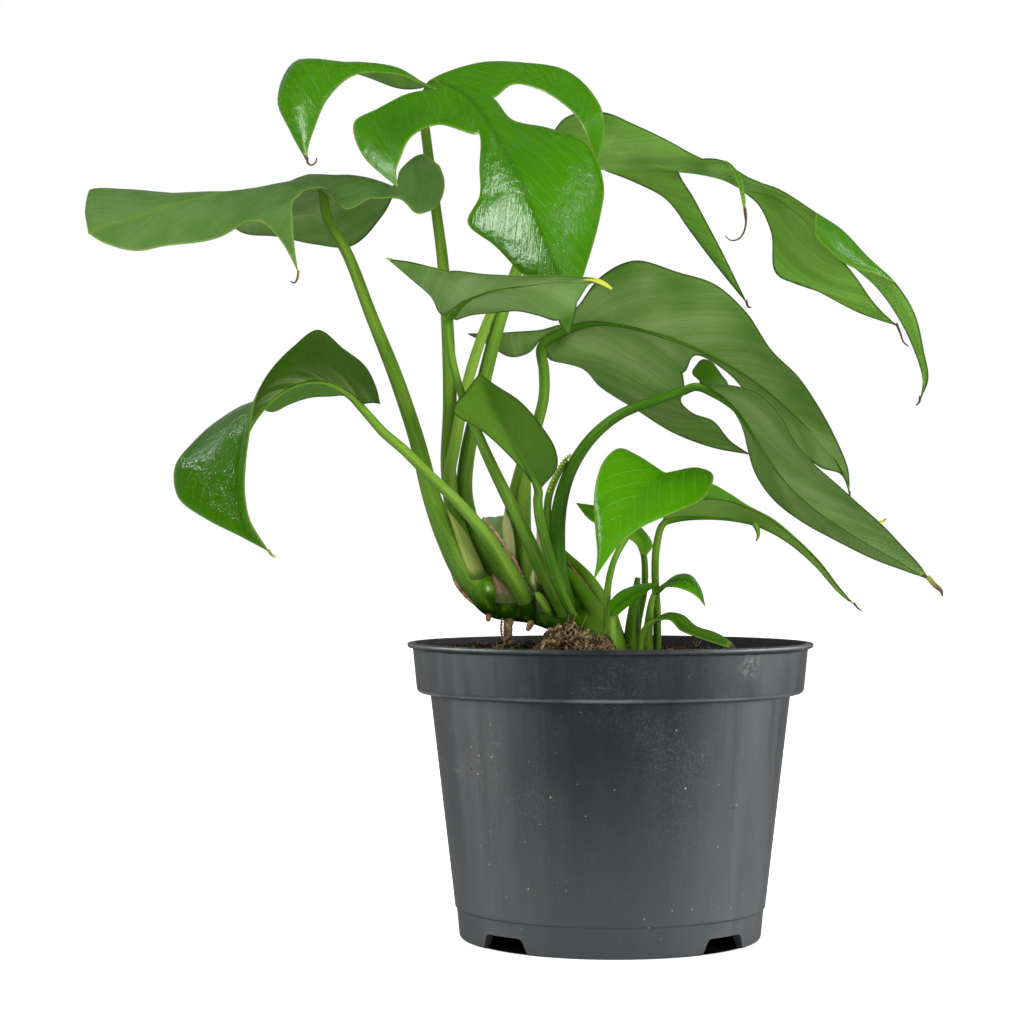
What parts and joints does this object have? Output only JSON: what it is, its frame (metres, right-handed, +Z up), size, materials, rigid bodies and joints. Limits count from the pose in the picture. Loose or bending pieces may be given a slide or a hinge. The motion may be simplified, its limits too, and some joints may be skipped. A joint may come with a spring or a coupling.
{
  "type": "potted mini monstera",
  "caption": "Young split-leaf aroid with a creeping stem, arching stalks and lobed, drooping leaves, in a round dark grey nursery pot with a stepped rim.",
  "frame": {"origin": "middle of the whole plant's extent seen from above, on the surface that the pot stands on; the pot's own axis stands 33.8 mm from it, towards +X", "axes": "+Z up the plant's height; the long leaves spread along X; -Y is the front, where the small shoots stand"},
  "size_m": [0.2708, 0.1304, 0.284],
  "materials": {
    "pot": "matte",
    "soil": "matte",
    "coir": "matte",
    "leaf": "satin",
    "stem": "satin",
    "root": "matte",
    "sheath": "matte",
    "dry_sheath": "matte"
  },
  "bodies": {
    "root": {"pot": "pot", "stem": "stem", "shoot_stem": "stem", "aerial_root_1": "root", "aerial_root_2": "root", "aerial_root_3": "root", "sheath_pale": "sheath", "sheath_yellow": "sheath", "sheath_dry": "dry_sheath", "root_plug": "coir", "soil": "soil", "leaf_left": "leaf", "leaf_crown": "leaf", "leaf_right_high": "leaf", "leaf_right_broad": "leaf", "leaf_right_low": "leaf", "leaf_left_low": "leaf", "leaf_middle": "leaf", "leaf_folded": "leaf", "leaf_front_small": "leaf", "leaf_narrow": "leaf", "leaf_behind": "leaf", "leaf_new": "leaf", "leaf_sprig": "leaf", "leaf_lying": "leaf", "leaf_back": "leaf"}
  },
  "joints": []
}
